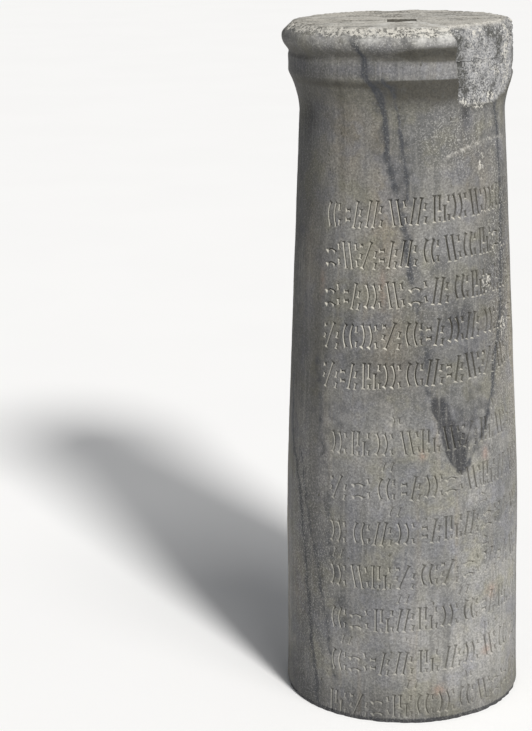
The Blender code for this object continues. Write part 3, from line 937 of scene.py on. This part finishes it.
def build_side(shell):
    """Adds the side and gives back its lowest and uppermost rings."""
    plan = side_plan()
    points, faces, olds = triangulate(plan.points, plan.edges)
    index = []
    seam = {}
    rings = {0.0: [], SIDE_LENGTH: []}
    for point, old in zip(points, olds):
        x, run = point
        run = min(max(run, 0.0), SIDE_LENGTH)
        key = round(run, 7)
        if x > HALF_TURN - SAME:
            index.append(("seam", key))
            continue
        groove = max((plan.depths[i] for i in old), default=0.0)
        wall = max((plan.walls[i] for i in old), key=abs, default=0.0)
        place, fresh, chip, cut = side_point(x, run, groove)
        number = shell.add(place, (x, fresh, chip, cut, 0.0, wall))
        index.append(number)
        if x < -HALF_TURN + SAME:
            seam[key] = number
        for level, ring in rings.items():
            if abs(run - level) < SAME:
                ring.append((x, number))
    index = [seam[i[1]] if isinstance(i, tuple) else i for i in index]
    for face in faces:
        shell.faces.append([index[i] for i in face])
        shell.corners += [side_uv(*points[i]) for i in face]
    return [[number for _, number in sorted(ring)] for ring in rings.values()]


def build_disc(shell, plan, ring, middle, place_at):
    """Adds a flat end whose outer ring is shared with the side."""
    points, faces, olds = triangulate(plan.points, plan.edges, inside_only=True)
    index = []
    for point, old in zip(points, olds):
        first = min(old)
        if first < len(ring):
            index.append(ring[first])
        else:
            depth = max(plan.depths[i] for i in old)
            place = place_at(point, depth)
            index.append(shell.add(place, end_marks(place, depth)))
    for face in faces:
        order = list(face) if middle == TOP_UV else list(face)[::-1]
        shell.faces.append([index[i] for i in order])
        shell.corners += [disc_uv(*points[i], middle) for i in order]


def end_marks(place, depth):
    """Marks of a point of the top or underside, in the same order as the side's."""
    angle = math.atan2(place.x, -place.y)
    return angle * SHAFT_RADIUS, 0.0, 0.0, 0.0, 1.0 if depth else 0.0, 0.0


def top_place(point, depth):
    """Worn place of a point of the top or the socket."""
    place = Vector((point.x, point.y, HEIGHT))
    place, _ = chipped(place)
    place.z -= top_sink(place) if depth == 0 else depth - SOCKET_ROUGH * rough(place, SOCKET_STEP * 3)
    return place


def build_shell():
    """Side, top and underside in one closed mesh."""
    shell = Shell()
    low, high = build_side(shell)
    top = top_plan([shell.places[i] for i in high])
    build_disc(shell, top, high, TOP_UV, top_place)
    under = Plan()
    under.line([(shell.places[i].x, shell.places[i].y) for i in low], closed=True)
    for x, y in hex_grid(-BASE_RADIUS, BASE_RADIUS, -BASE_RADIUS, BASE_RADIUS, UNDER_STEP):
        if math.hypot(x, y) < BASE_RADIUS - UNDER_STEP / 2:
            under.scatter([(x, y)])
    build_disc(shell, under, low, UNDER_UV, lambda point, depth: Vector((point.x, point.y, 0.0)))
    return shell


def tone_and_shade_mark(angles, z):
    """Sum of the broad lighter and darker zones, painted shade and painted light among them."""
    mark = np.zeros(len(angles))
    for a0, z0, wide, tall, strength in TONE_AND_SHADE_PATCHES:
        across = (angles - math.radians(a0) + math.pi) % (2 * math.pi) - math.pi
        mark += strength * np.exp(-((across * SHAFT_RADIUS / wide) ** 2) - ((z - z0) / tall) ** 2)
    return mark


def near_line(angles, z, reach, line, soft_side=1.0):
    """Soft mark round a bent line of (degrees, height) points, 1 on the line.

    To the right of a line that runs down, it reaches further by the factor soft_side.
    """
    best = np.full(len(angles), 9.0)
    for (a0, z0), (a1, z1) in zip(line, line[1:]):
        x0 = math.radians(a0) * SHAFT_RADIUS
        dx = math.radians(a1) * SHAFT_RADIUS - x0
        dz = z1 - z0
        part = np.clip(((angles * SHAFT_RADIUS - x0) * dx + (z - z0) * dz) / (dx * dx + dz * dz), 0, 1)
        off = angles * SHAFT_RADIUS - x0 - dx * part
        away = np.hypot(off, z - z0 - dz * part)
        best = np.minimum(best, np.where(off > 0, away / soft_side, away))
    return np.exp(-((best / reach) ** 2))


def waver(turns, z, size, seed):
    """Noise from -1 to 1 at each point, which varies over about the given height."""
    return np.array([noise.noise(Vector((turn, v / size, seed))) for turn, v in zip(turns, z)])


def vein_mark(angles, z):
    """Mark of all veins, which waver and swell along their way."""
    sway = waver(angles, z, VEIN_SWAY_SIZE, 4.0)
    swell = waver(angles, z, VEIN_SWELL_SIZE, 9.0)
    moved = angles + VEIN_SWAY * sway / SHAFT_RADIUS
    mark = np.zeros(len(angles))
    for reach, strength, line in VEINS:
        core = near_line(moved, z, reach * VEIN_CORE, line, VEIN_SOFT_SIDE) ** (1 / (1 + VEIN_SWELL * swell))
        haze = VEIN_HAZE * near_line(moved, z, reach * VEIN_REACH, line, VEIN_SOFT_SIDE)
        mark = np.maximum(mark, strength * np.maximum(core, haze))
    return mark


def wedge_mark(angles, z, rows, soft):
    """Mark inside a patch given by rows of height, left side, right side and strength."""
    heights, left, right, strength = (np.array(column) for column in zip(*sorted(rows)))
    x = angles * SHAFT_RADIUS + WEDGE_SWAY * waver(angles * WEDGE_GRAIN[0], z, WEDGE_GRAIN[1], 2.0)
    from_left = x - np.interp(z, heights, np.radians(left)) * SHAFT_RADIUS
    from_right = np.interp(z, heights, np.radians(right)) * SHAFT_RADIUS - x
    inside = smooth_step(-soft[0], soft[0], from_left) * smooth_step(-soft[1], soft[1], from_right)
    return inside * np.interp(z, heights, strength, left=0.0, right=0.0)


def towards_break(angles, least, start, full):
    """Rise to 1 from the least share, between two turns in degrees, and a weaker mark past the break."""
    share = least + (1 - least) * smooth_step(math.radians(start), math.radians(full), angles)
    return np.where(angles > BREAK_END, PAST_BREAK, share)


def moulding_shade(angles, z):
    """Painted shade, with some dirt, under the roll and under the band, strongest towards the break."""
    side = towards_break(angles, 0.35, -25, 5)
    end = towards_break(angles, 0.3, -6, 12)
    under_roll = 2.6 * end * (1 - smooth_step(0.0, 0.009, np.abs(z - ROLL_FOOT - 0.0034)))
    under_roll = np.maximum(under_roll, 1.2 * side * np.exp(-(((z - ROLL_FOOT) / 0.0022) ** 2)))
    under_band = 2.4 * side * np.exp(-(((z - BAND_FOOT + 0.0045) / 0.0046) ** 2))
    under_band = np.maximum(under_band, 1.1 * side * np.exp(-(((z - BAND_FOOT + 0.012) / 0.012) ** 2)))
    return np.maximum(under_roll, np.where(z < BAND_FOOT + 0.0004, under_band, 0.0))


def painted_roll_highlight(angles, z):
    """Painted highlight on the upper half of the roll, strongest between the vein and the break."""
    side = 0.15 + 0.2 * smooth_step(math.radians(-60), math.radians(-35), angles)
    side = np.maximum(side, in_patches(angles, np.full(len(z), HEIGHT), ROLL_HIGHLIGHT_PATCHES))
    return side * smooth_step(HEIGHT - HIGHLIGHT_BAND, HEIGHT - HIGHLIGHT_BAND / 4, z)


def in_patches(angles, z, patches):
    """Soft mark of round patches given as degrees, height, half width, half height and strength."""
    mark = np.zeros(len(angles))
    for a0, z0, wide, tall, strength in patches:
        away = ((angles - math.radians(a0)) * SHAFT_RADIUS / wide) ** 2 + ((z - z0) / tall) ** 2
        mark = np.maximum(mark, strength * np.exp(-away))
    return mark


def new_object(name, data):
    """A new object of the scene that holds the data."""
    made = bpy.data.objects.new(name, data)
    bpy.context.scene.collection.objects.link(made)
    return made


def make_column():
    """The finished marble mesh with its marks and its texture layout."""
    shell = build_shell()
    mesh = bpy.data.meshes.new("carved_marble")
    mesh.from_pydata([tuple(p) for p in shell.places], [], shell.faces)
    layout = mesh.uv_layers.new(name="OFBake")
    layout.uv.foreach_set("vector", [value for corner in shell.corners for value in corner])
    marks = np.array(shell.marks)
    angles = marks[:, 0] / SHAFT_RADIUS
    z = np.array([p.z for p in shell.places])
    values = dict(zip(POINT_MARKS, marks.T[1:]))
    values |= {name: in_patches(angles, z, patches) for name, patches in PATCH_MARKS.items()}
    values |= {
        "vein": vein_mark(angles, z),
        "dark": np.maximum.reduce([
            in_patches(angles, z, DARK_PATCHES),
            wedge_mark(angles, z, WEDGE, WEDGE_SOFT),
            wedge_mark(angles, z, WEDGE_HAZE, (WEDGE_SOFT[0], 2 * WEDGE_SOFT[1])),
            # Painted contact shadow: the lowest few millimetres of the side are darkened
            FOOT_SHADE * (1 - smooth_step(FOOT_BAND * 0.45, FOOT_BAND * 0.75, z)),
        ]),
        # Stone tone with painted shade and painted light
        "tone": tone_and_shade_mark(angles, z),
        "top": smooth_step(HEIGHT - 0.006, HEIGHT - 0.002, z),
        "scratch": np.maximum.reduce([near_line(angles, z, SCRATCH_REACH, line) for line in SCRATCHES]),
        "rim_highlight": painted_roll_highlight(angles, z),
        # Painted shade and dirt under the mouldings, and dirt streaks; below 0 a painted band of reflected
        # light
        "shade": in_patches(angles, z, DIRT_AND_REFLECTED_LIGHT_PATCHES) + moulding_shade(angles, z),
    }
    for name, value in values.items():
        layer = mesh.attributes.new(name=name, type="FLOAT", domain="POINT")
        layer.data.foreach_set("value", value.astype(np.float32))
    mesh.shade_smooth()
    mesh.set_sharp_from_angle(angle=SHARP_ANGLE)
    return new_object("carved_marble", mesh)


class Nodes:
    """Short way to add shader nodes and join them."""

    def __init__(self, tree):
        self.tree = tree

    def add(self, kind, inputs, output=0, **settings):
        made = self.tree.nodes.new(kind)
        for name, value in settings.items():
            setattr(made, name, value)
        for key, value in inputs.items():
            if isinstance(value, bpy.types.NodeSocket):
                self.tree.links.new(value, made.inputs[key])
            else:
                made.inputs[key].default_value = value
        return made.outputs[output]

    def feed(self, shader, socket, value):
        self.tree.links.new(value, shader.inputs[socket])

    def mark(self, name):
        """Mark that the mesh carries under a name."""
        return self.add("ShaderNodeAttribute", {}, output="Fac", attribute_name=name)

    def noise(self, vector, scale, detail=2.0, roughness=0.5):
        values = {"Vector": vector, "Scale": scale, "Detail": detail, "Roughness": roughness}
        return self.add("ShaderNodeTexNoise", values)

    def rise(self, value, low, high, out_low=0.0, out_high=1.0):
        """Smooth rise of a value between two limits."""
        values = {"Value": value, "From Min": low, "From Max": high, "To Min": out_low, "To Max": out_high}
        return self.add("ShaderNodeMapRange", values, interpolation_type="SMOOTHSTEP")

    def math(self, operation, first, second=0.0):
        return self.add("ShaderNodeMath", {0: first, 1: second}, operation=operation)

    def times(self, first, second):
        return self.math("MULTIPLY", first, second)

    def plus(self, first, second):
        return self.math("ADD", first, second)

    def most(self, first, second):
        return self.math("MAXIMUM", first, second)

    def clamp(self, value, high=1.0):
        """Value kept between 0 and a limit."""
        return self.math("MINIMUM", self.most(value, 0.0), high)

    def stained(self, colour, value, low, high, share, tint):
        """Colour mixed with up to a share of the tint as a value rises between two limits."""
        return self.mix(self.rise(value, low, high, 0.0, share), colour, tint)

    def scaled(self, colour, level):
        """Colour made lighter or darker by a factor."""
        grey = self.add("ShaderNodeCombineColor", {0: level, 1: level, 2: level})
        return self.mix(1.0, colour, grey, blend="MULTIPLY")

    def mix(self, share, first, second, blend="MIX"):
        """Blend of two colours."""
        values = {0: share, 6: first, 7: second}
        return self.add("ShaderNodeMix", values, output=2, data_type="RGBA", blend_type=blend)

    def stretch(self, vector, scale):
        return self.add("ShaderNodeMapping", {"Vector": vector, "Scale": scale})


def new_material(name):
    """A new material, its shader and the nodes to build on."""
    material = bpy.data.materials.new(name)
    material.use_nodes = True
    tree = material.node_tree
    return material, tree.nodes["Principled BSDF"], Nodes(tree)


def marble_material():
    """Weathered blue-grey marble: veins, warm stains, streaks, sugar grain, fresh breaks, dirt, and painted
    shade and highlights.
    """
    material, shader, nodes = new_material("grey_marble")
    mark, rise, mix, stained = nodes.mark, nodes.rise, nodes.mix, nodes.stained
    times, plus, most = nodes.times, nodes.plus, nodes.most
    place = nodes.add("ShaderNodeTexCoord", {}, output="Object")
    drift = nodes.add("ShaderNodeTexNoise", {"Vector": place, "Scale": 22.0, "Detail": 3.0}, output="Color")
    bent_inputs = {0: drift, 1: (WOBBLE, WOBBLE, WOBBLE), 2: place}
    bent = nodes.add("ShaderNodeVectorMath", bent_inputs, operation="MULTIPLY_ADD")

    broad = nodes.noise(bent, 8.0, detail=3.0)
    hue = nodes.noise(bent, 28.0, detail=3.0, roughness=0.6)
    streak = nodes.noise(nodes.stretch(bent, (1.0, 1.0, 0.06)), 75.0, detail=3.0, roughness=0.6)
    fine_streak = nodes.noise(nodes.stretch(place, (1.0, 1.0, 0.05)), 330.0, detail=2.0)
    mottle = nodes.noise(bent, 42.0, detail=4.0, roughness=0.6)
    blotch = nodes.noise(place, 130.0, detail=3.0, roughness=0.6)
    speck = nodes.noise(place, 520.0, detail=3.0, roughness=0.65)

    # Cool and warm stone
    tone = rise(broad, 0.35, 0.65)
    colour = mix(tone, COOL_DARK, COOL_LIGHT)
    warmth = times(mark("warm"), rise(mottle, 0.3, 0.6, 0.45, 1.0))
    warmth = most(warmth, rise(streak, 0.52, 0.78, 0.0, 0.55))
    colour = mix(warmth, colour, WARM)
    colour = stained(colour, mottle, 0.4, 0.7, 0.55, PALE_GREY)
    colour = stained(colour, hue, 0.5, 0.64, 0.6, OLIVE)
    cool = times(mark("cool"), 0.85)
    violet = most(rise(hue, 0.48, 0.35, 0.0, 0.55), cool)
    colour = mix(violet, colour, VIOLET)
    colour = stained(colour, streak, 0.5, 0.25, 0.5, STREAK_DARK)
    pink = times(mark("pink"), rise(blotch, 0.35, 0.55, 0.2, 0.8))
    colour = mix(pink, colour, PINK)

    # Broad tone with painted shade and painted light, veins and dark bands
    level = plus(mark("tone"), rise(broad, 0.3, 0.7, -0.12, 0.12))
    colour = nodes.scaled(colour, plus(level, 1.0))
    ragged = plus(mark("vein"), rise(blotch, 0.3, 0.7, -0.22, 0.22))
    vein = rise(ragged, 0.02, 0.8, 0.0, 0.92)
    dark = plus(mark("dark"), rise(blotch, 0.3, 0.7, -0.16, 0.16))
    colour = stained(colour, dark, 0.05, 0.9, 0.93, DARK_BAND)
    shade = mark("shade")
    # Painted shade and dirt under the mouldings darken the stone here
    shading = times(shade, rise(mottle, 0.25, 0.65, 0.65, 0.95))
    shading = nodes.clamp(shading, 0.9)
    colour = mix(shading, colour, DIRT_AND_SHADE)
    unshaded = nodes.math("SUBTRACT", 1.0, shading)
    # Below 0 the mark is a painted band of reflected light, which makes the stone paler
    colour = mix(most(times(shade, -0.4), 0.0), colour, PALE_GREY)
    colour = mix(vein, colour, VEIN)

    # Grain of the marble
    grain = rise(speck, 0.34, 0.66, 0.72, 1.26)
    colour = nodes.scaled(colour, grain)
    colour = stained(colour, fine_streak, 0.5, 0.74, 0.34, STREAK_DARK)
    pale_streak = times(unshaded, rise(fine_streak, 0.46, 0.26, 0.0, 0.22))
    colour = mix(pale_streak, colour, PALE_GREY)
    flecks = nodes.noise(place, 700.0, detail=2.0, roughness=0.6)
    sugar = most(mark("fleck"), 0.25)
    white = times(rise(flecks, 0.52, 0.66, 0.0, 0.58), times(unshaded, sugar))
    colour = mix(white, colour, SUGAR)
    black = times(rise(flecks, 0.48, 0.34, 0.0, 0.8), sugar)
    colour = mix(black, colour, STREAK_DARK)
    pits = nodes.noise(nodes.stretch(place, (1.0, 1.0, 0.6)), 260.0, detail=1.0)
    colour = stained(colour, pits, 0.72, 0.8, 0.7, DIRT_AND_SHADE)

    # The flat top is painted paler, partly for the light from above, with long chisel marks
    furrow = nodes.noise(nodes.stretch(bent, (0.45, 1.0, 1.0)), 60.0, detail=5.0, roughness=0.7)
    lit_top_colour = mix(rise(furrow, 0.4, 0.57), TOP_DARK, TOP_LIGHT)
    lit_top_colour = stained(lit_top_colour, speck, 0.42, 0.6, 0.6, TOP_SPECK)
    lit_top_colour = stained(lit_top_colour, speck, 0.47, 0.37, 0.75, TOP_DARK)
    colour = mix(mark("top"), colour, lit_top_colour)

    # Broken stone is pale and granular, with dark hollows
    fresh = mark("fresh")
    grainy = nodes.noise(place, 700.0, detail=2.0, roughness=0.7)
    crumbs = nodes.noise(place, 330.0, detail=3.0, roughness=0.7)
    clump = nodes.noise(place, 90.0, detail=3.0, roughness=0.65)
    fresh_colour = mix(rise(grainy, 0.43, 0.57), FRESH_DARK, FRESH_LIGHT)
    fresh_colour = stained(fresh_colour, clump, 0.44, 0.62, 0.55, FRESH_GREY)
    hollow = times(mark("broken_dark"), 1.3)
    hollow = plus(hollow, rise(clump, 0.52, 0.36, 0.05, 0.6))
    hollow = times(hollow, rise(crumbs, 0.58, 0.46, 0.3, 1.0))
    fresh_colour = mix(nodes.math("MINIMUM", hollow, 0.92), fresh_colour, FRESH_SHADE)
    sugary = nodes.math("SUBTRACT", mark("broken_pale"), mark("broken_dark"))
    sugary = plus(sugary, rise(crumbs, 0.44, 0.58, -0.7, 0.28))
    fresh_colour = stained(fresh_colour, sugary, 0.0, 0.7, 0.85, CHIP_WHITE)
    colour = mix(fresh, colour, fresh_colour)

    # The rim and the chips are a mix of white grains and dark pits
    # Painted highlight on the upper half of the roll
    rim_highlight = times(mark("rim_highlight"), nodes.math("SUBTRACT", 1.0, fresh))
    rim_highlight = times(rim_highlight, rise(clump, 0.38, 0.56, 0.25, 1.0))
    colour = mix(times(rim_highlight, 0.85), colour, RIM_HIGHLIGHT)
    worn = most(times(mark("chip"), 1.3), mark("pale"))
    pitted = times(worn, rise(crumbs, 0.54, 0.46))
    colour = mix(times(pitted, 0.85), colour, FRESH_SHADE)
    coarse = rise(crumbs, 0.43, 0.57, -1.0, -0.45)
    grains = plus(worn, plus(coarse, rise(grainy, 0.42, 0.58, -0.1, 0.4)))
    colour = stained(colour, grains, 0.0, 0.55, 0.95, CHIP_WHITE)
    line = times(mark("scratch"), rise(crumbs, 0.42, 0.58, 0.1, 1.0))
    colour = mix(times(line, SCRATCH_WHITE), colour, CHIP_WHITE)

    # Painted highlight on the walls of the strokes that look up, painted shade on the others and along the
    # groove bottoms, and the socket darkened
    cut = mark("cut")
    wall = times(times(cut, mark("wall")), 4.5)
    colour = mix(times(nodes.clamp(wall), CUT_HIGHLIGHT), colour, WALL_HIGHLIGHT)
    groove_shade = most(nodes.clamp(times(wall, -1.0)), rise(cut, 0.6, 1.0))
    colour = mix(times(groove_shade, CUT_SHADE), colour, DIRT_AND_SHADE)
    colour = stained(colour, mark("deep"), 0.02, 0.9, 0.9, DIRT_AND_SHADE)

    # Relief too fine for the mesh
    relief = plus(times(speck, 0.35), times(blotch, 0.9))
    relief = plus(relief, times(fine_streak, 0.5))
    broken = times(most(fresh, mark("chip")), times(grainy, 3.0))
    relief = plus(relief, broken)
    bump = nodes.add("ShaderNodeBump", {"Strength": 0.55, "Distance": BUMP_DEPTH, "Height": relief})
    nodes.feed(shader, "Base Color", colour)
    nodes.feed(shader, "Roughness", rise(speck, 0.3, 0.7, 0.62, 0.86))
    nodes.feed(shader, "Normal", bump)
    shader.inputs["Metallic"].default_value = 0.0
    shader.inputs["Specular IOR Level"].default_value = 0.35
    return material


def floor_material():
    """Plain pale floor with the faintest unevenness."""
    material, shader, nodes = new_material("pale_floor")
    place = nodes.add("ShaderNodeTexCoord", {}, output="Object")
    cloud = nodes.rise(nodes.noise(place, 3.0), 0.3, 0.7)
    nodes.feed(shader, "Base Color", nodes.mix(cloud, FLOOR_LIGHT, FLOOR_DARK))
    shader.inputs["Roughness"].default_value = 0.9
    shader.inputs["Specular IOR Level"].default_value = 0.1
    return material


def make_floor():
    """Square floor under the column."""
    mesh = bpy.data.meshes.new("floor")
    half = FLOOR_SIZE / 2
    corners = [(-half, -half, 0), (half, -half, 0), (half, half, 0), (-half, half, 0)]
    mesh.from_pydata(corners, [], [(0, 1, 2, 3)])
    mesh.materials.append(floor_material())
    return new_object("floor", mesh)


def add_light(name, turn, rise, spread, strength, colour):
    """Distant soft light from a turn off the front and a rise above the floor, in degrees."""
    data = bpy.data.lights.new(name, "SUN")
    data.angle = math.radians(spread)
    data.energy = strength
    data.color = colour
    lamp = new_object(name, data)
    flat = math.cos(math.radians(rise))
    lamp.location = on_column(math.radians(turn), flat, HEIGHT + math.sin(math.radians(rise)))
    lamp.rotation_euler = (lamp.location - Vector((0, 0, HEIGHT))).to_track_quat("Z", "Y").to_euler()


def light_scene():
    """A soft light from the front right, a softer one high above it, and an even sky."""
    for light in LIGHTS:
        add_light(*light)
    world = bpy.data.worlds.new("studio")
    world.use_nodes = True
    back = world.node_tree.nodes["Background"]
    back.inputs["Color"].default_value = SKY_COLOUR
    back.inputs["Strength"].default_value = SKY_STRENGTH
    bpy.context.scene.world = world
    bpy.context.scene.view_settings.view_transform = "Standard"


def add_camera():
    """Camera at the photo's place, looking down a little, without shift."""
    data = bpy.data.cameras.new("camera")
    data.lens = LENS
    data.sensor_fit = "VERTICAL"
    data.sensor_height = SENSOR
    camera = new_object("camera", data)
    camera.location = CAMERA_PLACE
    yaw = Matrix.Rotation(math.radians(CAMERA_YAW), 3, "Z")
    pitch = Matrix.Rotation(math.radians(90 - CAMERA_PITCH), 3, "X")
    roll = Matrix.Rotation(math.radians(CAMERA_ROLL), 3, "Z")
    camera.rotation_euler = (yaw @ pitch @ roll).to_euler()
    bpy.context.scene.camera = camera


# Without a seed, noise_vector starts from the time of day
noise.seed_set(FACET_SEED)
column = make_column()
column.data.materials.append(marble_material())
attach(column, "root")
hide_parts(NODE)
make_floor()
light_scene()
add_camera()
